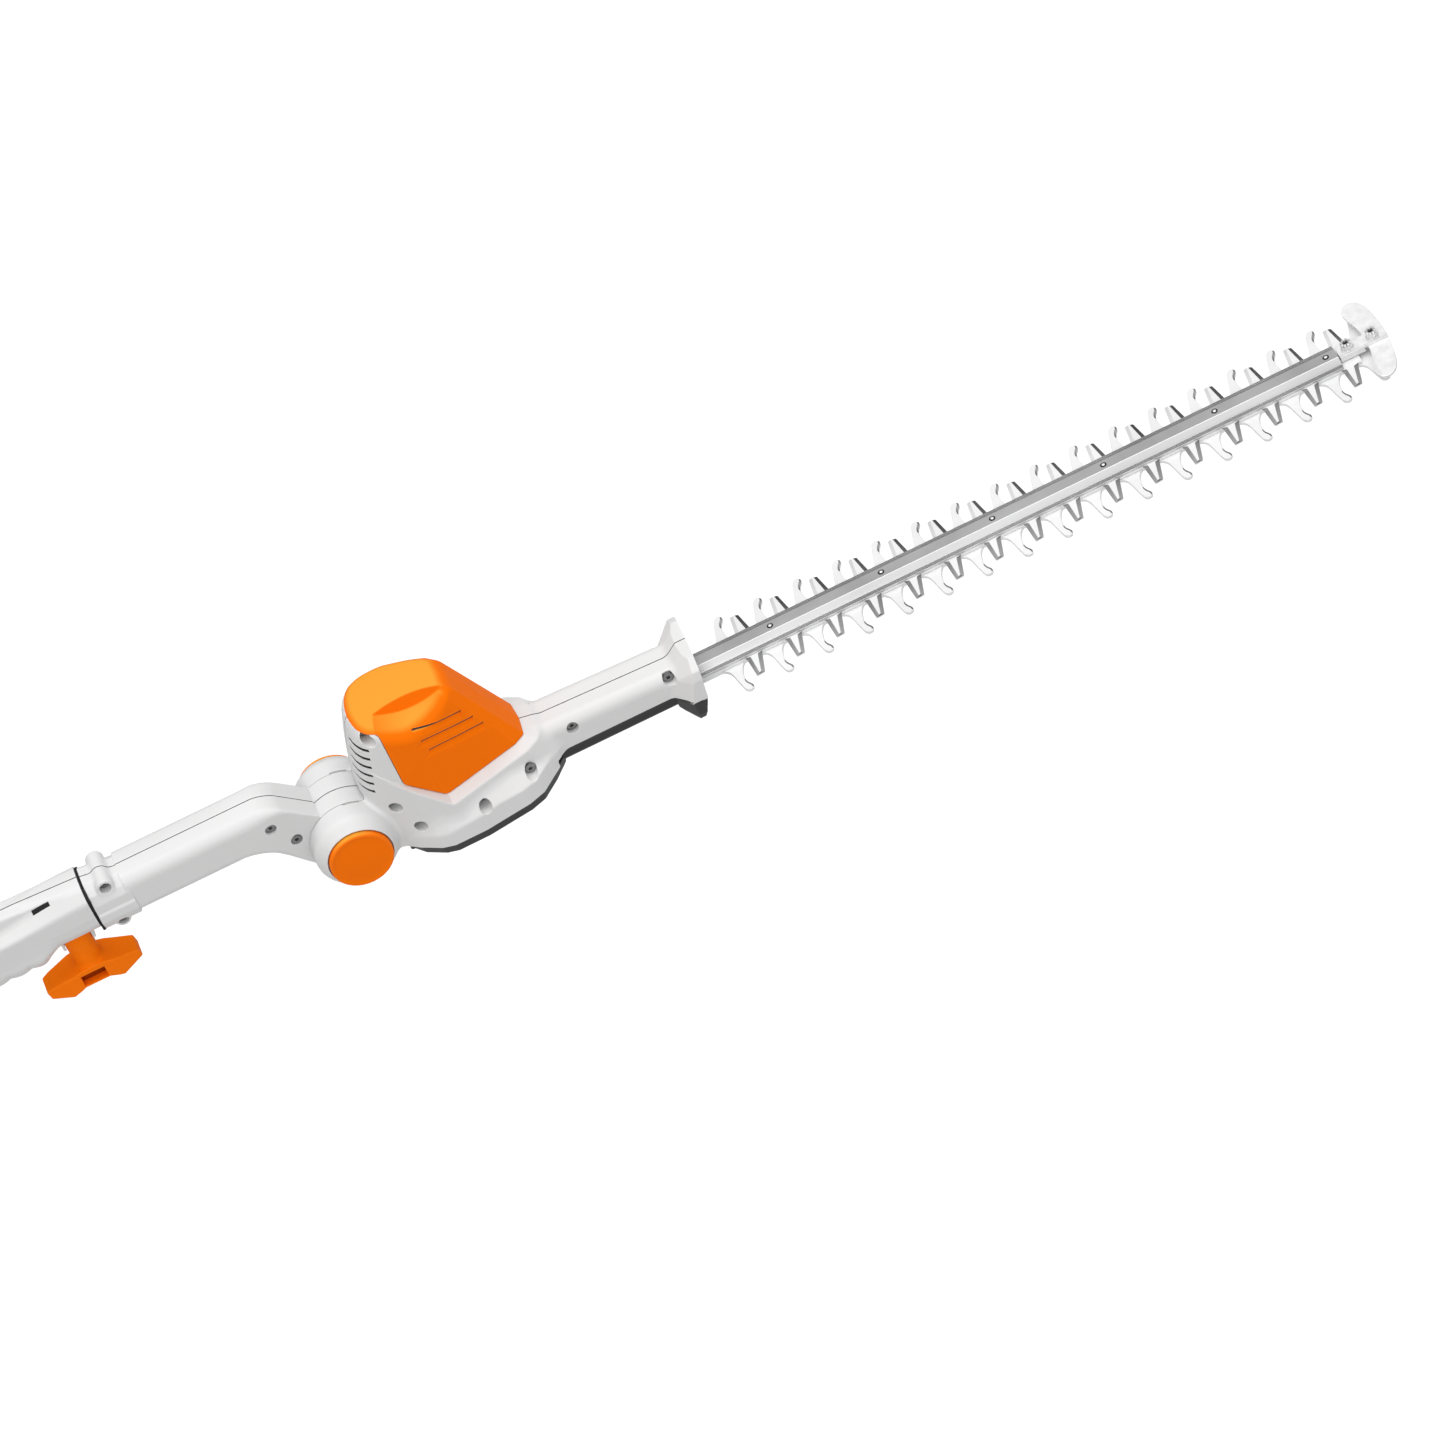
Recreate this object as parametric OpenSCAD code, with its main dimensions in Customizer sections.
// Battery pole hedge trimmer: rear handle, tube, plug-in joint, arm, pivoting head and blade.
// The origin is at the centre of the rear end face, +X along the shaft towards the blade,
// +Y to the user's left, +Z up. Millimetres. Arm and head are drawn in the pivot frame,
// whose origin is on the pivot axis and whose axes are parallel to these.

/* [Overall] */
// Distance from the rear end face to the head pivot axis
pivot_x = 1318; // [1300:1:1340]
// Height of the pivot axis below the shaft axis
pivot_drop = 37; // [36:0.5:38]

/* [Blade] */
// Distance between two teeth of one blade
tooth_pitch = 30; // [29:0.5:31]
// Number of guard teeth on each side
hook_count = 17; // [12:1:17]
// Thickness of the moving cutter blade
cutter_t = 2.1; // [1.6:0.1:2.2]
// Thickness of the fixed guard comb
comb_t = 2.2; // [1.8:0.1:2.4]
// Half of the cutter's stroke
half_stroke = 10; // [8:0.5:10]

/* [Shaft] */
// Outer radius of the main tube
tube_r = 14; // [14:0.1:14]
// Wall of the main tube
tube_wall = 1.6; // [1.2:0.1:2]
// Outer radius of the plug-in spigot
spigot_r = 15; // [14.5:0.1:15]

/* [Shells] */
// Wall thickness of the moulded head shells
wall = 2.5; // [2:0.1:3]
// Gap between two halves at the parting plane
seam = 0.2; // [0.1:0.05:0.4]

/* [Drive] */
// Gear module
gear_m = 1.25; // [1.25:0.05:1.25]
// Teeth on the motor pinion
pinion_n = 12; // [12:1:12]
// Teeth on the crank gear
gear_n = 44; // [44:1:44]

/* [Hidden] */
$fn = 48;
sliver = 0.01;     // thickness of hull slices, and overlap of joined bodies
fit = 0.05;        // radial clearance on tubes and bores
screw_r = 1.9;
screw_bore_r = 1.95;
screw_head_r = 3.6;
head_bore_r = 3.8;

// ---------- helpers ----------
// side is 1 for the left (+Y) and -1 for the right (-Y)
module pivot_frame() translate([pivot_x, 0, -pivot_drop]) children();
module box(x0, x1, y0, y1, z0, z1) translate([x0, y0, z0]) cube([x1 - x0, y1 - y0, z1 - z0]);
module cyl_x(x0, x1, radius, y = 0, z = 0)
  translate([x0, y, z]) rotate([0, 90, 0]) cylinder(h = x1 - x0, r = radius);
module cyl_y(y0, y1, radius, x = 0, z = 0)
  translate([x, y1, z]) rotate([90, 0, 0]) cylinder(h = y1 - y0, r = radius);
module cyl_z(z0, z1, radius, x = 0, y = 0)
  translate([x, y, z0]) cylinder(h = z1 - z0, r = radius);
module prism_xy(points, z0, z1) translate([0, 0, z0]) linear_extrude(z1 - z0) polygon(points);

// bodies symmetric about the plane y = 0
module box_mid(x0, x1, half_width, z0, z1) box(x0, x1, -half_width, half_width, z0, z1);
module cyl_mid(half_width, radius, x = 0, z = 0) cyl_y(-half_width, half_width, radius, x, z);
module prism_mid(points, half_width)
  translate([0, half_width, 0]) rotate([90, 0, 0]) linear_extrude(2 * half_width)
    polygon(points);

// bodies on one side, with y0 and y1 measured outwards
module box_side(side, x0, x1, y0, y1, z0, z1)
  box(x0, x1, side > 0 ? y0 : -y1, side > 0 ? y1 : -y0, z0, z1);
module cyl_side(side, y0, y1, radius, x = 0, z = 0)
  cyl_y(side > 0 ? y0 : -y1, side > 0 ? y1 : -y0, radius, x, z);
// turns a body standing on +Z outwards to one side
module outwards(side) mirror([0, side > 0 ? 0 : 1, 0]) rotate([-90, 0, 0]) children();
// everything that does not belong to the shell half on this side
module cut_half(side) box_side(-side, -2000, 4000, -seam / 2, 600, -600, 600);

// extrudes a profile drawn in y, z
module along_x(x0, x1) translate([x0, 0, 0]) rotate([90, 0, 90]) linear_extrude(x1 - x0) children();
module slice_x(x) along_x(x, x + sliver) children();
module rounded(width, height, corner) {
  square([width - 2 * corner, height], center = true);
  square([width, height - 2 * corner], center = true);
  for (a = [-1, 1], b = [-1, 1])
    translate([a * (width / 2 - corner), b * (height / 2 - corner)]) circle(corner);
}
// closes a half outline with its mirror image in the second coordinate
function mirrored(points) =
  concat(points, [for (i = [len(points) - 1:-1:0]) [points[i][0], -points[i][1]]]);
module slab(outline, z0, z1, inset)
  translate([0, 0, z0]) linear_extrude(z1 - z0) offset(delta = -inset) polygon(mirrored(outline));
module layer(outline, z, inset = 0) slab(outline, z, z + sliver, inset);

// screw at [x, z] along +Y, head on the -Y side of its seat
module screw(at, seat_y, length, shank_r = screw_r, head_r = screw_head_r) {
  difference() {
    cyl_y(seat_y - 2.6, seat_y, head_r, at[0], at[1]);
    cyl_y(seat_y - 2.7, seat_y - 1, 1.5, at[0], at[1], $fn = 6);
  }
  cyl_y(seat_y - sliver, seat_y + length, shank_r, at[0], at[1]);
}
// bore through both halves, with the head recess on the right
module screw_hole(at, seat, bore_r) {
  cyl_y(-seat - 1, seat, bore_r, at[0], at[1]);
  cyl_y(-60, -seat, head_bore_r, at[0], at[1]);
}

// helical spring along +Z, lowest point of the wire near z = 0
module coil(radius, wire_r, pitch, turns) {
  steps = 16;
  sides = 6;
  rings = turns * steps;
  points = [
    for (i = [0:rings]) for (k = [0:sides - 1])
      let (a = 360 * i / steps, b = 360 * k / sides, reach = radius + wire_r * cos(b))
        [reach * cos(a), reach * sin(a), wire_r + pitch * i / steps + wire_r * sin(b)]
  ];
  faces = concat(
    [[for (k = [0:sides - 1]) k]],
    [for (i = [0:rings - 1]) for (k = [0:sides - 1]) let (next = (k + 1) % sides)
      [i * sides + next, i * sides + k, (i + 1) * sides + k, (i + 1) * sides + next]],
    [[for (k = [sides - 1:-1:0]) rings * sides + k]]
  );
  polyhedron(points = points, faces = faces);
}

// involute spur gear outline, one tooth centred on +X
function involute(angle) = tan(angle) * 180 / PI - angle;
module gear_outline(teeth_n) {
  pressure = 20;
  backlash = 0.3;
  pitch_r = teeth_n * gear_m / 2;
  base_r = pitch_r * cos(pressure);
  tip_r = pitch_r + 0.85 * gear_m;
  root_r = pitch_r - 1.2 * gear_m;
  half_tooth = 90 / teeth_n - backlash / 2 / pitch_r * 180 / PI;
  function flank(radius) =
    let (contact = acos(min(1, base_r / max(radius, base_r))))
      half_tooth + involute(pressure) - involute(contact);
  foot_r = max(root_r + 0.02, base_r * 1.001);
  radii = [root_r, foot_r, (foot_r + pitch_r) / 2, pitch_r, (pitch_r + tip_r) / 2, tip_r];
  function at(radius, angle) = [radius * cos(angle), radius * sin(angle)];
  polygon([
    for (i = [0:teeth_n - 1]) let (mid = 360 * i / teeth_n) each concat(
      [for (j = [0:5]) at(radii[j], mid - flank(radii[j]))],
      [for (j = [5:-1:0]) at(radii[j], mid + flank(radii[j]))]
    )
  ]);
}

// ---------- rear handle ----------
// side view outlines: x, z
rear_side = [
  [0, 30], [6, 36], [118, 36], [140, 28], [158, 20.5], [290, 19], [346, 18], [346, -18],
  [300, -20], [285, -24], [180, -24], [164, -30], [150, -46], [6, -46], [0, -40]
];
rear_side_in = [
  [2.5, 29], [7, 33.5], [117.5, 33.5], [139, 25.8], [157.5, 18], [290, 16.5], [336, 15.5],
  [336, -15.5], [299, -17.5], [284, -21.5], [181, -21.5], [164, -11.5], [2.5, -11.5]
];
// top view outlines: x, y
rear_plan = mirrored([[0, 36], [6, 42], [116, 42], [152, 19], [346, 18]]);
rear_plan_in = mirrored([[2.5, 34.9], [7, 39.5], [115.3, 39.5], [151.3, 16.5], [336, 15.5]]);
// x, z, outer end of the boss, seat of the screw head
rear_screw_at = [
  [14, 25, 40.5, 12.5], [112, 25, 40.5, 12.5], [172, -17, 17.5, 11.5],
  [246, 10.5, 17.5, 11.5], [293, 9, 17.5, 11.5], [293, -9, 17.5, 11.5]
];
rear_screw_r = 2;
// pins: x, z
trigger_pin_at = [270, -14];
trigger_pin_r = 2.5;
lockout_pin_at = [216, 14.5];
lockout_pin_r = 2;
module pin(half_width, radius, at) cyl_mid(half_width, radius, at[0], at[1]);

module rear_outer() intersection() {
  prism_mid(rear_side, 43);
  prism_xy(rear_plan, -60, 60);
}
module rear_housing(side) color("whitesmoke") difference() {
  union() {
    difference() {
      rear_outer();
      intersection() {
        prism_mid(rear_side_in, 43);
        prism_xy(rear_plan_in, -60, 60);
      }
      box_mid(12.4, 137.6, 37.4, -50, -14); // battery bay
    }
    intersection() {
      rear_outer();
      for (at = rear_screw_at) pin(at[2], 5, at);
    }
  }
  cut_half(side);
  cyl_x(300, 350, tube_r + fit);
  box_mid(203, 281, 8.6, -30, -15); // trigger opening
  box_mid(147, 225, 7.6, 15, 30);   // lockout opening
  pin(15, trigger_pin_r + fit, trigger_pin_at);
  pin(13, lockout_pin_r + fit, lockout_pin_at);
  box_mid(60, 90, 14.5, -20, -8);   // terminal block opening
  for (at = rear_screw_at) screw_hole(at, at[3], rear_screw_r + fit);
}
module rear_housing_screws() color("gray")
  for (at = rear_screw_at) screw(at, -at[3], 2 * at[3] - 1, rear_screw_r);

module trigger() color("dimgray") difference() {
  prism_mid([
    [276, -11], [276, -19], [264, -25], [244, -33], [226, -37.5], [214, -35], [207, -26],
    [206, -17], [214, -14.6], [262, -10]
  ], 8);
  pin(9, trigger_pin_r + fit, trigger_pin_at);
}
module trigger_pin() color("silver") pin(14.9, trigger_pin_r, trigger_pin_at);
module trigger_spring() color("silver")
  translate([246, 0, -11.15]) coil(radius = 3.4, wire_r = 0.5, pitch = 2.6, turns = 6);
module lockout_lever() color("dimgray") difference() {
  prism_mid([
    [149, 19], [152, 25], [164, 28.5], [190, 27], [222, 19.5], [222, 11.5], [208, 11.5],
    [200, 15.4], [151, 15.8]
  ], 7);
  pin(8, lockout_pin_r + fit, lockout_pin_at);
}
module lockout_pin() color("silver") pin(12.9, lockout_pin_r, lockout_pin_at);
module switch_module() color("dimgray") {
  box_mid(206, 236, 6.5, -0.5, 9);
  box_mid(214, 219, 2, -2.2, -0.4);
}
module control_board() color("seagreen") {
  box_mid(20, 112, 30, 6, 7.6);
  box(30, 50, -20, 0, 7.5, 18);
  box(64, 78, 6, 20, 7.5, 16);
  cyl_z(7.5, 22, 6, 95, -12);
}
module terminal_block() color("dimgray") {
  box_mid(62, 88, 14, -13.9, -2);
  for (y = [-9, -3, 3, 9]) box(68, 82, y - 0.5, y + 0.5, -27, -13.8);
}

module battery_case() color("dimgray") difference() {
  union() {
    box_mid(14, 136, 36, -76, -16);
    prism_mid([[18, -80], [132, -80], [136, -76], [14, -76]], 33);
  }
  box_mid(17, 133, 33, -73, -33);
  box_mid(58, 92, 17, -34, -15);
  box_mid(13, 18, 12.4, -70.4, -57.6); // latch opening
}
module battery_cells() color("steelblue")
  for (i = [0:4], j = [0:1]) cyl_mid(32.6, 9.05, 28.6 + i * 23.2, -63.6 + j * 19.2);
module battery_latch() color("darkorange") {
  box_mid(11, 13.99, 12, -70, -58);
  box_mid(13.9, 16.9, 12, -70, -58);
}

// ---------- shaft ----------
strap_x = 811;
strap_screw_z = -22.6;
module foam_grip() color("dimgray") difference() {
  union() {
    cyl_x(470, 740, 19);
    for (x = [466, 736]) cyl_x(x, x + 8, 21);
  }
  cyl_x(460, 750, tube_r + fit);
}
module strap_eye() color("dimgray") difference() {
  union() {
    cyl_x(strap_x - 11, strap_x + 11, tube_r + 4.5);
    prism_mid([
      [800, 10], [822, 10], [822, 24], [818, 36], [814, 40], [808, 40], [804, 36], [800, 24]
    ], 2.5);
    box_mid(strap_x - 10, strap_x + 10, 4, -27, -15);
  }
  cyl_x(790, 830, tube_r + fit);
  cyl_mid(5, 6, strap_x, 30);
  box_mid(790, 830, 0.6, -30, -10); // clamping slit
  cyl_mid(6, 2.05, strap_x, strap_screw_z);
}
module strap_eye_screw() color("silver") {
  cyl_y(-6.5, -4, 3.6, strap_x, strap_screw_z);
  cyl_y(-4.1, 6.4, 2, strap_x, strap_screw_z);
}
module shaft_tube() color("silver") difference() {
  cyl_x(302, 1000, tube_r);
  cyl_x(300, 1002, tube_r - tube_wall);
}
module shaft_cable() color("dimgray") cyl_x(256, 1031, 3.2);

// ---------- plug-in socket ----------
knob_x = pivot_x - 199;
stud_r = 4;
plug_r = 12.9;
// x, half width, top z, bottom z
socket_stations = [
  [930, 18.5, 18.5, -18.5], [985, 20, 20, -21], [1050, 22, 26, -29], [1100, 22, 25, -30],
  [1139, 20.5, 22.3, -24]
];
// corners of the section as fractions of half width and of height above or below the axis
socket_corners = [
  [-0.62, 1], [0.62, 1], [1, 0.5], [1, -0.45], [0.55, -1], [-0.55, -1], [-1, -0.45], [-1, 0.5]
];
// x, z
socket_screw_at = [[945, -15.9], [1012, 18.7], [1012, -18.9], [1074, 19.9]];

module socket_slice(station) slice_x(station[0]) polygon([
  for (c = socket_corners)
    [c[0] * station[1], c[1] > 0 ? c[1] * station[2] : -c[1] * station[3]]
]);
module socket_form() for (i = [0:len(socket_stations) - 2]) hull() {
  socket_slice(socket_stations[i]);
  socket_slice(socket_stations[i + 1]);
}
module socket_shell(side) color("whitesmoke") difference() {
  union() {
    socket_form();
    cyl_z(-32, -20, 13.5, knob_x);
  }
  cut_half(side);
  cyl_x(920, 1001, tube_r + fit);
  cyl_x(1000, 1056, 13);
  cyl_x(1055.9, 1150, spigot_r + 0.25);
  cyl_z(-33, -27, 10.5, knob_x);                         // washer recess
  cyl_z(-27.5, -10, 4.6, knob_x);                        // stud hole
  box_mid(knob_x - 7.2, knob_x + 7.2, 7.2, -24.4, -17.6); // nut pocket
  for (at = socket_screw_at) {
    cyl_y(-12, 13, screw_bore_r, at[0], at[1]);
    cyl_y(9, 40, 3.4, at[0], at[1]);
  }
  box(pivot_x - 215, pivot_x - 202, -30, -17.8, 13.2, 16.4); // slot in the right wall
}
// these screws enter from the left
module socket_screws() color("gray")
  mirror([0, 1, 0]) for (at = socket_screw_at) screw(at, -9, 20, head_r = 3.2);
module contacts(x0, x1, radius)
  for (a = [0:120:240]) rotate([a, 0, 0]) cyl_x(x0, x1, radius, 6, 0);
module socket_connector() color("dimgray") {
  cyl_x(1031.5, 1050, plug_r);
  contacts(1049.9, 1066, 1.2);
}
module clamp_nut() color("silver") difference() {
  translate([0, 0, -24]) linear_extrude(6) translate([knob_x, 0]) square(14, center = true);
  cyl_z(-30, -10, stud_r + 0.06, knob_x);
}
module knob_washer() color("silver") difference() {
  cyl_z(-28.15, -27.05, 9.4, knob_x);
  cyl_z(-30, -20, stud_r + 0.3, knob_x);
}
// x, z in the pivot frame
wing_side = [
  [-234.4, -15.8], [-221, -16], [-206, -8.8], [-190, -9.8], [-179.4, -17.4], [-165.6, -16.8],
  [-166.4, -24], [-181, -30], [-190.5, -26], [-208.5, -26], [-219.5, -30], [-233.8, -24.6]
];
module wing_knob() color("darkorange") difference() {
  union() {
    cyl_z(-47, -28.2, 9.9, knob_x);
    pivot_frame() prism_mid(wing_side, 8);
  }
  for (side = [-1, 1]) pivot_frame() translate([0, side * 9.5, 0])
    prism_mid([[-209, -27], [-209, -16], [-191, -16], [-191, -27]], 4);
  cyl_z(-44, -20, stud_r + 0.02, knob_x);
}
module knob_stud() color("silver") cyl_z(-43.9, -15.6, stud_r, knob_x);
module joint_seal() color("dimgray") difference() {
  along_x(pivot_x - 178.8, pivot_x - 177.1) rounded(37.5, 38.5, 8);
  cyl_x(1100, 1180, spigot_r + 0.1);
}
module spigot_tube() color("silver") difference() {
  cyl_x(1058.5, pivot_x - 149.2, spigot_r);
  cyl_x(1050, 1190, spigot_r - 2);
}
module spigot_plug() color("dimgray") difference() {
  cyl_x(1059.5, 1078, plug_r);
  contacts(1059, 1070, 1.5);
}

// ---------- arm and pivot (pivot frame) ----------
shaft_z = pivot_drop; // height of the shaft axis in this frame
arm_half = 16;        // half width of the arm at the pivot
joint_r = 29.7;       // round end of the arm and ears of the head
pivot_pin_r = 6;
// side view outlines: x, z
arm_side = [
  [-152, 53.5], [-46, 53.5], [-39, 50.8], [-17, 30], [0, 15], [-22, -19], [-32, -8.6],
  [-55, 19.2], [-64, 21.8], [-152, 21.8]
];
arm_side_in = [
  [-150, 50.8], [-47, 50.8], [-41, 48.6], [-30, 38], [-32, 12], [-36, 4], [-52, 22],
  [-63, 24.6], [-150, 24.6]
];
// x, y
arm_taper = mirrored([[-56, 19], [-44, 19], [-30.6, 17.2], [-29, 16], [-20, 16]]);
// x, z
arm_screw_at = [[-46.5, 38.2], [-34.4, 18.5]];
collar_x = -163.5;
collar_screw_at = [for (z = [-17.1, 17.1]) [collar_x, shaft_z + z]];

module arm_outer() {
  intersection() {
    prism_mid(arm_side, 19);
    union() {
      box_mid(-200, -40, 30, -60, 80);
      box_mid(-41, 40, arm_half, -60, 80);
      prism_xy(arm_taper, -60, 80);
    }
  }
  cyl_mid(arm_half, joint_r);
  along_x(-177, -149) translate([0, shaft_z]) rounded(40, 41, 9);
  for (z = [-17.12, 17.12]) cyl_mid(16.5, 7, collar_x, shaft_z + z);
}
module arm_cavity() difference() {
  intersection() {
    prism_mid(arm_side_in, 16.5);
    along_x(-200, 0) translate([0, shaft_z - 20]) square([33, 100], center = true);
  }
  for (at = arm_screw_at) pin(20, 5.4, at);
}
// space swept by the ears of the head on one side
module ear_space(side) difference() {
  cyl_y(16 * side - 14, 16 * side + 14, 60);
  cyl_mid(arm_half, 70);
  box_mid(-400, -30.3, 60, -100, 100);
  difference() {
    cyl_mid(60, 61);
    cyl_mid(60, 30.3);
  }
}
module arm_shell(side) color("whitesmoke") difference() {
  arm_outer();
  cut_half(side);
  arm_cavity();
  along_x(-151, -149) translate([0, shaft_z]) circle(spigot_r + fit);
  cyl_x(-180, -148, spigot_r + 0.02, 0, shaft_z);
  for (s = [1, -1]) ear_space(s);
  cyl_mid(20, pivot_pin_r + 0.02);
  for (s = [-1, 1]) difference() { // seats of the detent rings
    cyl_side(s, 12.4, 17, 25.1);
    cyl_mid(20, 17.9);
  }
  for (at = collar_screw_at) {
    cyl_y(-13, 12, screw_bore_r, at[0], at[1]);
    cyl_y(-30, -9, 3.9, at[0], at[1]);
  }
  for (at = arm_screw_at) {
    cyl_y(-30, -14, 3.9, at[0], at[1]);
    cyl_y(-15, 14, screw_bore_r, at[0], at[1]);
  }
}
module arm_screws() color("gray") {
  for (at = collar_screw_at) screw(at, -9, 20);
  for (at = arm_screw_at) screw(at, -14, 27);
}
module arm_cable() color("dimgray") cyl_x(-240, -58, 2.8, 0, shaft_z);

module pivot_pin() color("silver") difference() {
  cyl_mid(22.8, pivot_pin_r);
  cyl_mid(30, 3.4);
}
module pivot_clips() color("gray") for (side = [-1, 1]) difference() {
  cyl_side(side, 21.6, 22.6, 9);
  cyl_mid(30, pivot_pin_r + 0.02);
}
module detent_rings() color("gray") for (side = [-1, 1]) difference() {
  cyl_side(side, 12.5, 15.9, 25);
  cyl_mid(20, 18);
  for (i = [0:6]) rotate([0, i * 22.5 - 10, 0]) cyl_side(side, 13.8, 17, 2, 21.5, 0);
}
module pivot_bushes() color("gray") for (side = [-1, 1]) difference() {
  cyl_side(side, 16.35, 21.4, 8);
  cyl_mid(30, pivot_pin_r + fit);
}
// radius, distance from the plane y = 0
module release_button(side) color("darkorange") outwards(side) rotate_extrude() polygon([
  [0, 27], [5, 27], [5, 41.8], [10, 41.8], [10, 38.4], [23.1, 38.4], [23.1, 41.4],
  [22.4, 42.6], [20, 43.3], [8, 43.9], [0, 44]
]);
module button_springs() color("silver") for (side = [-1, 1])
  rotate([side > 0 ? -90 : 90, 0, 0]) translate([0, 0, 33.1])
    coil(radius = 7.6, wire_r = 0.55, pitch = 1.5, turns = 3);

// ---------- head housing (pivot frame) ----------
// half outlines seen from above, from bottom to top: x, y
base_low = [
  [32, 30], [38, 38], [50, 46.5], [60, 50.5], [85, 50.5], [119, 46], [131, 41], [143, 29],
  [152, 18]
];
base_mid = [for (q = base_low) [q[0] + (q[0] < 90 ? 0.4 : -0.8), q[1] - 1]];
base_top = [[30, 30], [40, 34.5], [50, 40], [72, 42], [129, 26.5], [140, 20], [147, 12]];
tower_low = [
  [17.5, 10], [21, 20], [26, 28], [36, 34.5], [50, 37.5], [72, 38.5], [129, 22.5], [137, 17],
  [138.5, 8]
];
tower_top = [
  [34.5, 6], [37, 15], [40, 22], [46, 29.5], [62, 32], [80, 28.5], [96, 22], [103, 16.5],
  [104, 8]
];
crown = [[40, 6], [48, 20], [62, 23], [88, 16], [96, 8]];
// front flange: z, y
flange = mirrored([
  [19.4, 5], [18.6, 14], [10.5, 29], [4, 32.5], [-6, 33], [-14.5, 31.5], [-24, 28], [-30, 22]
]);
// side view areas that belong to the motor cover and to the side shells: x, z
cover_area = [[5, 130], [5, 84.2], [48.2, 84.2], [48.2, 38.3], [71.5, 15.2], [160, 15.2], [160, 130]];
shell_area = [[-60, 84], [48, 84], [48, 38.1], [71.3, 15], [400, 15], [400, -40], [-60, -40]];
// ear section: radius, distance from the plane y = 0
ear_section = [
  [8.02, 16.3], [29.7, 16.3], [29.7, 33], [29, 36.6], [27.2, 39.6], [24.6, 41.2],
  [23.5, 41.2], [23.5, 35], [10.5, 35], [10.5, 33], [5.15, 33], [5.15, 31], [26.7, 31],
  [26.7, 21.2], [8.02, 21.2]
];
// x, z, seat of the screw head from the parting plane, inner end of the bosses
head_screw_at = [
  [240, 3.4, 13, 0], [166.7, 2.2, 13, 0], [45.8, 2.2, 28, 0], [36.3, 21.9, 24, 0],
  [40.5, 80.2, 14, 0]
];
// short screws from each side into the ears of the gear plate, same columns
plate_screw_at = [[129.2, 0, 31.5, 27.8], [91, -1.2, 34, 30.2]];

module base_form(inset) hull() {
  layer(base_low, -17 - (inset > 0 ? 1 : 0), inset);
  layer(base_mid, -9, inset);
  layer(base_top, 14 - inset, inset);
}
module tower_form(inset) hull() {
  layer(tower_low, 12 - inset, inset);
  layer(tower_top, 85.5 - inset, inset);
  layer(crown, inset == 0 ? 88.6 : 86);
}
module nose_outline() translate([0, -6.5]) rounded(38, 33, 9);
module nose_bore(x0) along_x(x0, 256.5) translate([0, -6.5]) rounded(33, 27.6, 6.5);
module flange_outline() polygon([for (q = flange) [q[1], q[0]]]);
module head_front() {
  along_x(138, 250) nose_outline();
  hull() {
    slice_x(244) nose_outline();
    slice_x(256) flange_outline();
  }
  along_x(256, 261.5) flange_outline();
}
module ear_bridge(side) hull() {
  cyl_side(side, 16.4, 33, joint_r);
  box_side(side, 38, 44, 16.4, 36, -17, 20);
}
// hollow, leaving the screw bosses and two ribs
module head_cavity(side) difference() {
  union() {
    base_form(wall);
    tower_form(wall);
    nose_bore(150);
  }
  for (at = concat(head_screw_at, plate_screw_at)) cyl_side(side, at[3], 60, 4.8, at[0], at[1]);
  for (x = [58, 112]) box_side(side, x, x + 3, 18, 60, 6.5, 9.5);
}
module head_shell(side) color("whitesmoke") difference() {
  union() {
    difference() {
      intersection() {
        union() {
          base_form(0);
          tower_form(0);
          head_front();
          ear_bridge(side);
        }
        prism_mid(shell_area, 80);
      }
      head_cavity(side);
      box_mid(91, 157, 15, -18, 6);
      box_mid(250, 270, 15.2, -30, -8); // blade opening
      // room for the arm and the ears
      cyl_mid(16.3, 30.6);
      for (s = [-1, 1]) cyl_side(s, 16.2, 60, 29.5);
      // room for the base cover
      box_mid(-60, 400, 80, -60, -17);
      box_mid(148, 300, 60, -40, -12);
      box_mid(255.9, 262, 60, -40, -14.6);
    }
    outwards(side) rotate_extrude() polygon(ear_section);
  }
  cut_half(side);
  for (at = head_screw_at) screw_hole(at, at[2], screw_bore_r);
  for (at = plate_screw_at) {
    pin(at[2] + 1, screw_bore_r, at);
    for (s = [-1, 1]) cyl_side(s, at[2], 60, head_bore_r, at[0], at[1]);
  }
  for (i = [0:5]) // rear slots
    let (z = 39.2 + 7.4 * i) box_side(side, 20, 40 + i, 4, 40, z, z + 2.6);
}
module motor_cover() color("darkorange") difference() {
  intersection() {
    tower_form(0);
    prism_mid(cover_area, 80);
  }
  tower_form(wall);
  for (side = [-1, 1], i = [0:2]) // side slots
    let (x = 70 + 2 * i, z = 67 - 9.4 * i) box_side(side, x, x + 36, 26.5, 60, z, z + 1.8);
}
module base_cover() color("dimgray") difference() {
  union() {
    hull() {
      layer(base_low, -17.3 - sliver, 1.2);
      layer(base_low, -24, 4.5);
    }
    along_x(148.2, 250) intersection() {
      nose_outline();
      translate([-30, -23]) square([60, 10.8]);
    }
    intersection() {
      head_front();
      box_mid(244, 262, 60, -60, -12.2);
      union() {
        box_mid(240, 255.9, 60, -60, -12.2);
        box_mid(255, 262, 60, -60, -14.9);
      }
    }
  }
  intersection() {
    slab(base_low, -21.4, -10, 5.5);
    box_mid(-60, 150, 80, -60, 0);
  }
  nose_bore(130);
  box_mid(250, 270, 15.2, -21, -8);
  cyl_mid(16.3, 30.6);
  box_mid(-60, 31.5, 80, -60, 60);
}
module head_screws() color("gray") {
  for (at = head_screw_at) screw(at, -at[2], 2 * at[2] - 1);
  for (at = plate_screw_at, flip = [0, 1]) mirror([0, flip, 0]) screw(at, -at[2], 7);
}

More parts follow.
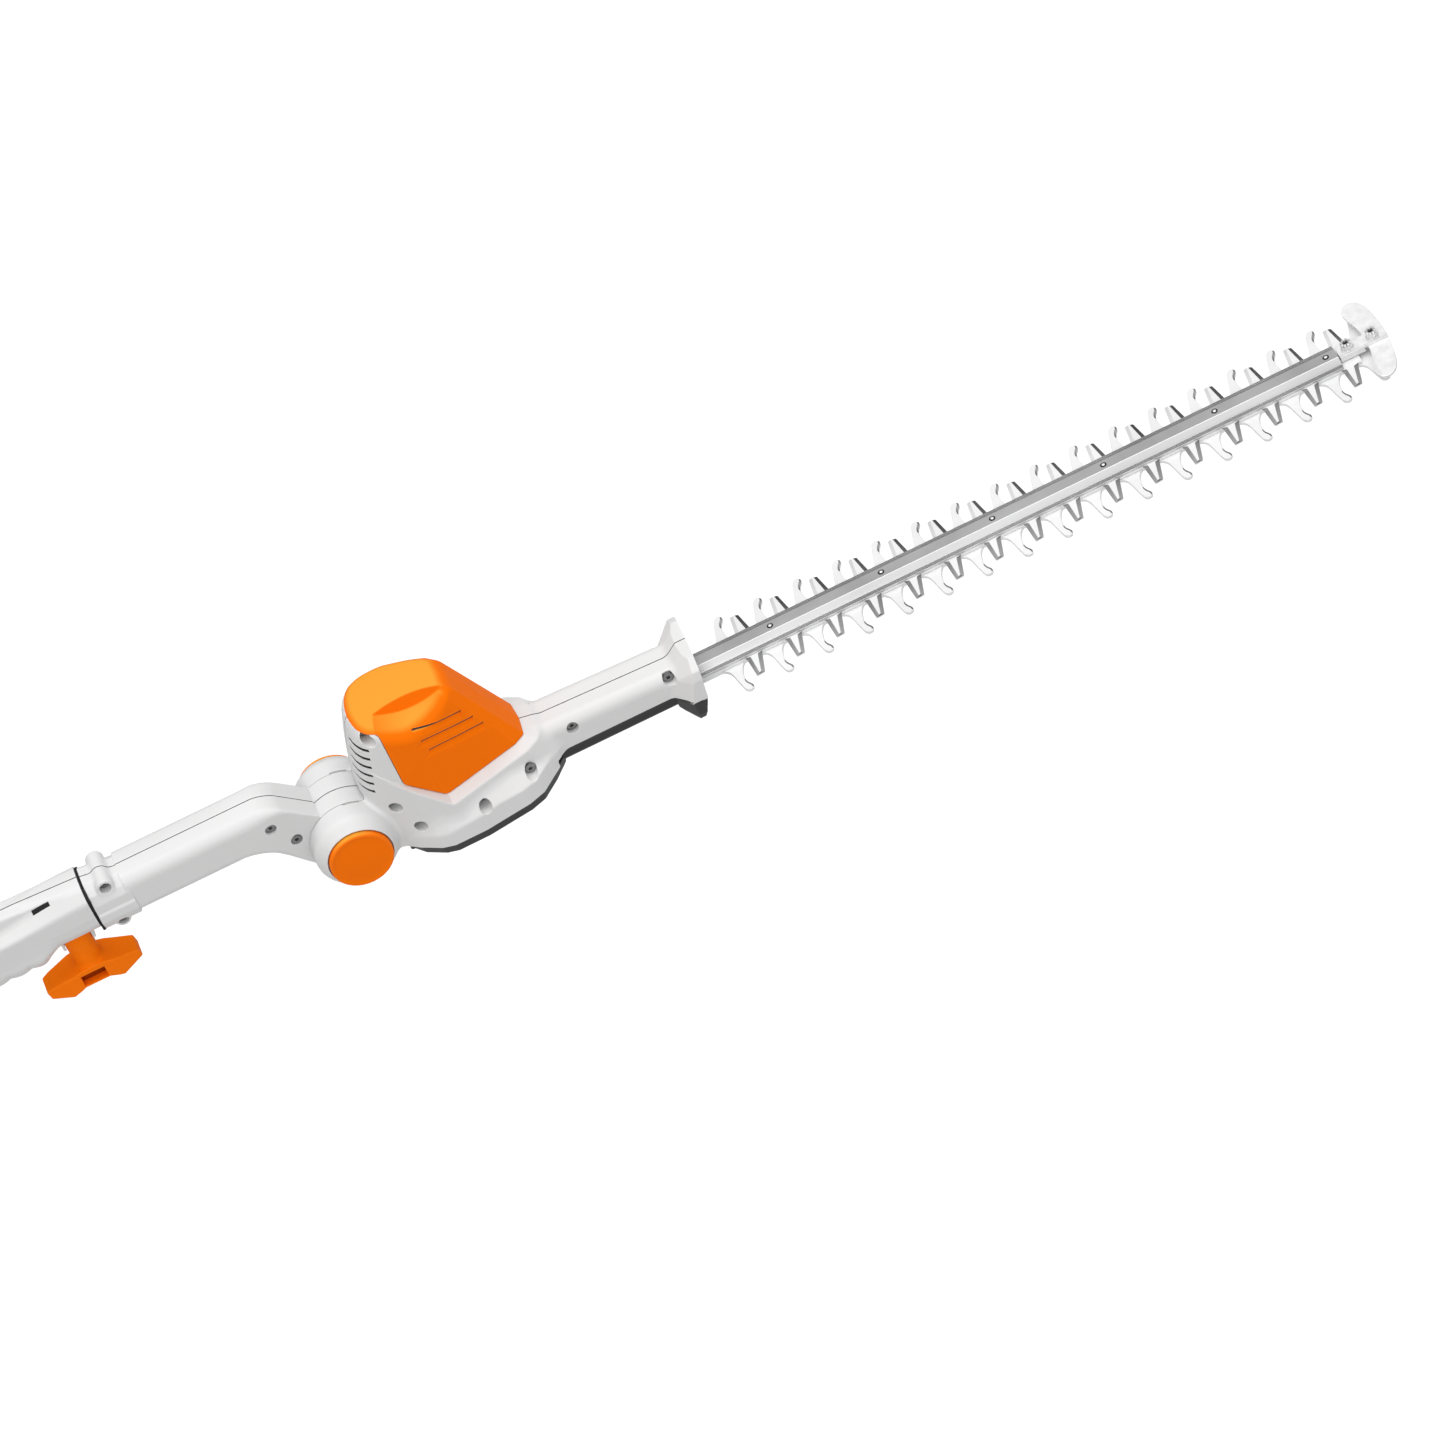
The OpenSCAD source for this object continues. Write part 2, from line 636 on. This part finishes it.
// ---------- drive (pivot frame) ----------
gear_x = 108;
motor_x = gear_x - gear_m * (pinion_n + gear_n) / 2;
motor_shaft_r = 2.5;
bearing_r = 8;
axle_r = 4;
crank_pin_r = 4.5;
// brackets of the gear plate, y outwards: x0, x1, y0, y1, z0, z1
plate_brackets = [
  [87, 95, 26, 30, -5, 11.2],
  [87, 95, 20, 27, 9.6, 11.2],
  [125.5, 132.5, 24.2, 27.4, -4, 3.3],
  [124.5, 129, 24.2, 26.2, 3.2, 7.2],
  [124.5, 129, 19, 24.6, 6.3, 9.2],
  [116, 129, 12, 22.2, 9.1, 11.2]
];

module motor_can() color("gray") difference() {
  cyl_z(13.9, 64, 24, motor_x);
  cyl_z(16.5, 61.5, 21.8, motor_x);
  cyl_z(10, 70, bearing_r + fit, motor_x);
}
module motor_bearings() color("silver") for (z = [14.2, 60]) difference() {
  cyl_z(z, z + 4, bearing_r, motor_x);
  cyl_z(z - 1, z + 5, motor_shaft_r + fit, motor_x);
}
module motor_rotor() color("silver") {
  cyl_z(-1, 79, motor_shaft_r, motor_x);
  difference() {
    cyl_z(22, 56, 19, motor_x);
    cyl_z(21, 57, motor_shaft_r - sliver, motor_x);
  }
  difference() {
    // half a tooth of turn lets the pinion mesh with an even gear
    translate([motor_x, 0, 0]) rotate([0, 0, 180 / pinion_n * (gear_n % 2 == 0 ? 1 : 0)])
      linear_extrude(6) gear_outline(pinion_n);
    cyl_z(-1, 9, motor_shaft_r - sliver, motor_x);
  }
}
module cooling_fan() color("dimgray") {
  difference() {
    cyl_z(67, 78, 6, motor_x);
    cyl_z(60, 80, motor_shaft_r + 0.02, motor_x);
  }
  for (a = [0:45:315]) translate([motor_x, 0, 0]) rotate([0, 0, a])
    translate([5.5, -0.8, 67.8]) cube([15.5, 1.6, 9]);
  difference() {
    cyl_z(67, 68.4, 21, motor_x);
    cyl_z(60, 80, 5.5, motor_x);
  }
}
module gear_plate() color("silver") difference() {
  union() {
    prism_xy(mirrored([[53, 20], [60, 25.5], [86, 25.5], [117, 20], [128, 13.5]]), 9.6, 13.8);
    for (side = [-1, 1], b = plate_brackets) box_side(side, b[0], b[1], b[2], b[3], b[4], b[5]);
  }
  for (at = plate_screw_at) pin(40, screw_bore_r, at);
  cyl_z(0, 20, 6, motor_x);
  cyl_z(0, 20, axle_r + 0.02, gear_x);
}
module gear_axle() color("silver") cyl_z(-6, 13.8, axle_r, gear_x);
// the crank pin stands below the gear, offset to the right by half the stroke
module crank_gear() color("dimgray") difference() {
  union() {
    translate([gear_x, 0, 0.2]) rotate([0, 0, 180]) linear_extrude(5.8) gear_outline(gear_n);
    cyl_z(-4, 0.3, 14, gear_x);
    cyl_z(-8.6, -3.9, crank_pin_r, gear_x, -half_stroke);
  }
  cyl_z(-20, 20, axle_r + fit, gear_x);
}

// ---------- blade (pivot frame) ----------
// stack from the top: rail, cutter, comb
rail_top = -8.5;
rail_bottom = -14;
cutter_top = rail_bottom - 0.1;
cutter_bottom = cutter_top - cutter_t;
comb_top = cutter_bottom - 0.2;
comb_bottom = comb_top - comb_t;
blade_rear_x = 172;
block_bolt_x = [184, 204];
bolt_r = 2.5;
rivet_x = [for (k = [0:5]) 317.4 + 84 * k];
rivet_r = 2;
tip_bolt_x = [753.5, 772.3];
hook_x0 = 287.1;       // x of the first guard tooth
cutter_tooth_x0 = 299; // x of the first cutter tooth

// tooth outlines: x from the tooth's own x, distance from the blade's axis
hook = [
  [-13.2, 12.0], [-9.4, 14.2], [-7.4, 18.6], [-6.2, 25], [-4.4, 32.4], [-2.8, 37.2],
  [-1.3, 39.3], [0.9, 39.6], [2.5, 38.3], [2.9, 36.3], [2.1, 34.2], [0.7, 31.5], [0.2, 28],
  [0.2, 22], [0.9, 16.4], [2.6, 12.6], [4.2, 12.0]
];
cutter_tooth = [[-7.2, 12.8], [-3.4, 31], [3, 31], [6.6, 12.8]];
function teeth(count, x0, tooth) =
  [for (i = [0:count - 1]) each [for (p = tooth) [x0 + i * tooth_pitch + p[0], p[1]]]];
comb_outline = mirrored(concat(
  [[blade_rear_x, 12]],
  teeth(hook_count, hook_x0, hook),
  [[hook_x0 + (hook_count - 1) * tooth_pitch + 8, 12], [776.5, 6]]
));
cutter_outline = mirrored(concat(
  [[100.8, 12.8]],
  teeth(hook_count - 1, cutter_tooth_x0, cutter_tooth),
  [[cutter_tooth_x0 + (hook_count - 2) * tooth_pitch + 7.2, 12.8]]
));
// y, z
rail_section = [
  [-12.5, rail_bottom], [-12.5, -12.5], [-9, -12.1], [-8.1, -11.4], [-4.9, rail_top],
  [4.9, rail_top], [8.1, -11.4], [9, -12.1], [12.5, -12.5], [12.5, rail_bottom]
];
// x, y
tip_plan = mirrored([
  [764.3, 6], [764.3, 13], [762.6, 24], [761.5, 33], [763.4, 38.6], [767, 41], [771.5, 40.4],
  [775.4, 36.8], [778, 31], [780.4, 18], [781.8, 6]
]);
// x, z
tip_side = [
  [746.2, -12.2], [746.2, -9.8], [762, -9.8], [782, -9.8], [782, -13.2], [764, -13.2],
  [763, -12.2]
];

module blade_mount_block() color("silver") difference() {
  box_mid(176, 212, 12.5, rail_top + 0.05, 3.4);
  for (x = block_bolt_x) cyl_z(-20, 20, bolt_r + fit, x);
}
module blade_bolts() color("silver") {
  for (x = block_bolt_x) {
    cyl_z(comb_bottom - 1.2, 3.5, bolt_r, x);
    cyl_z(3.45, 6.2, 4.4, x, $fn = 6);
  }
  for (x = rivet_x) {
    cyl_z(comb_bottom - 1.4, rail_top, rivet_r, x);
    cyl_z(rail_top - 0.01, rail_top + 0.9, 1.9, x);
    cyl_z(comb_bottom - 1.4, comb_bottom - 0.02, 3.6, x);
  }
}
module guide_rail() color("darkgray") difference() {
  along_x(blade_rear_x, 745) polygon(rail_section);
  for (x = block_bolt_x) cyl_z(-20, 0, bolt_r + fit, x);
  for (x = rivet_x) cyl_z(-20, 0, rivet_r + fit, x);
}
module comb_blade() color("lightgray") difference() {
  translate([0, 0, comb_bottom]) linear_extrude(comb_t) polygon(comb_outline);
  for (x = block_bolt_x) cyl_z(-30, 0, bolt_r + fit, x);
  for (x = rivet_x) cyl_z(-30, 0, rivet_r + fit, x);
  for (x = tip_bolt_x) cyl_z(-30, 0, bolt_r + 0.1, x);
}
// slot that lets the cutter slide past a bolt
module stroke_slot(x, half_width)
  box_mid(x - half_stroke - half_width, x + half_stroke + half_width, half_width, -20, 0);
module cutter_blade() color("lightgray") difference() {
  union() {
    translate([0, 0, cutter_bottom]) linear_extrude(cutter_t) polygon(cutter_outline);
    box_mid(gear_x - 7.2, gear_x + 7.2, 17, cutter_top - 0.01, -9.2); // crank yoke
  }
  box_mid(gear_x - crank_pin_r - 0.1, gear_x + crank_pin_r + 0.1,
    half_stroke + crank_pin_r + 0.3, -20, 0);
  for (x = block_bolt_x) stroke_slot(x, 2.7);
  for (x = rivet_x) stroke_slot(x, 2.3);
  box_mid(tip_bolt_x[0] - half_stroke - 3, 760, 2.8, -20, 0);
}
module tip_guard() color("silver") difference() {
  union() {
    translate([0, 0, -13.2]) linear_extrude(2.4) polygon(tip_plan);
    prism_mid(tip_side, 6.2);
  }
  for (x = tip_bolt_x) cyl_z(-20, 0, bolt_r + 0.1, x);
}
module tip_guard_bolts() color("silver") for (x = tip_bolt_x) {
  cyl_z(comb_bottom - 1.6, -9.7, bolt_r, x);
  cyl_z(-9.78, -8.6, 4.6, x);
  cyl_z(-8.61, -4.2, 3.9, x, $fn = 6);
  cyl_z(comb_bottom - 1.6, comb_bottom - 0.02, 4, x);
}

rear_housing(1);  // rear_housing_left
rear_housing(-1);  // rear_housing_right
rear_housing_screws();
trigger();
trigger_pin();
trigger_spring();
lockout_lever();
lockout_pin();
switch_module();
control_board();
terminal_block();
battery_case();
battery_cells();
battery_latch();
foam_grip();
strap_eye();
strap_eye_screw();
shaft_tube();
shaft_cable();
socket_shell(1);  // socket_shell_left
socket_shell(-1);  // socket_shell_right
socket_screws();
socket_connector();
clamp_nut();
knob_washer();
wing_knob();
knob_stud();
joint_seal();
spigot_tube();
spigot_plug();
pivot_frame() arm_shell(1);  // arm_shell_left
pivot_frame() arm_shell(-1);  // arm_shell_right
pivot_frame() arm_screws();
pivot_frame() arm_cable();
pivot_frame() pivot_pin();
pivot_frame() pivot_clips();
pivot_frame() detent_rings();
pivot_frame() pivot_bushes();
pivot_frame() release_button(1);  // release_button_left
pivot_frame() release_button(-1);  // release_button_right
pivot_frame() button_springs();
pivot_frame() head_shell(1);  // head_shell_left
pivot_frame() head_shell(-1);  // head_shell_right
pivot_frame() motor_cover();
pivot_frame() base_cover();
pivot_frame() head_screws();
pivot_frame() motor_can();
pivot_frame() motor_bearings();
pivot_frame() motor_rotor();
pivot_frame() cooling_fan();
pivot_frame() gear_plate();
pivot_frame() gear_axle();
pivot_frame() crank_gear();
pivot_frame() blade_mount_block();
pivot_frame() blade_bolts();
pivot_frame() guide_rail();
pivot_frame() comb_blade();
pivot_frame() cutter_blade();
pivot_frame() tip_guard();
pivot_frame() tip_guard_bolts();
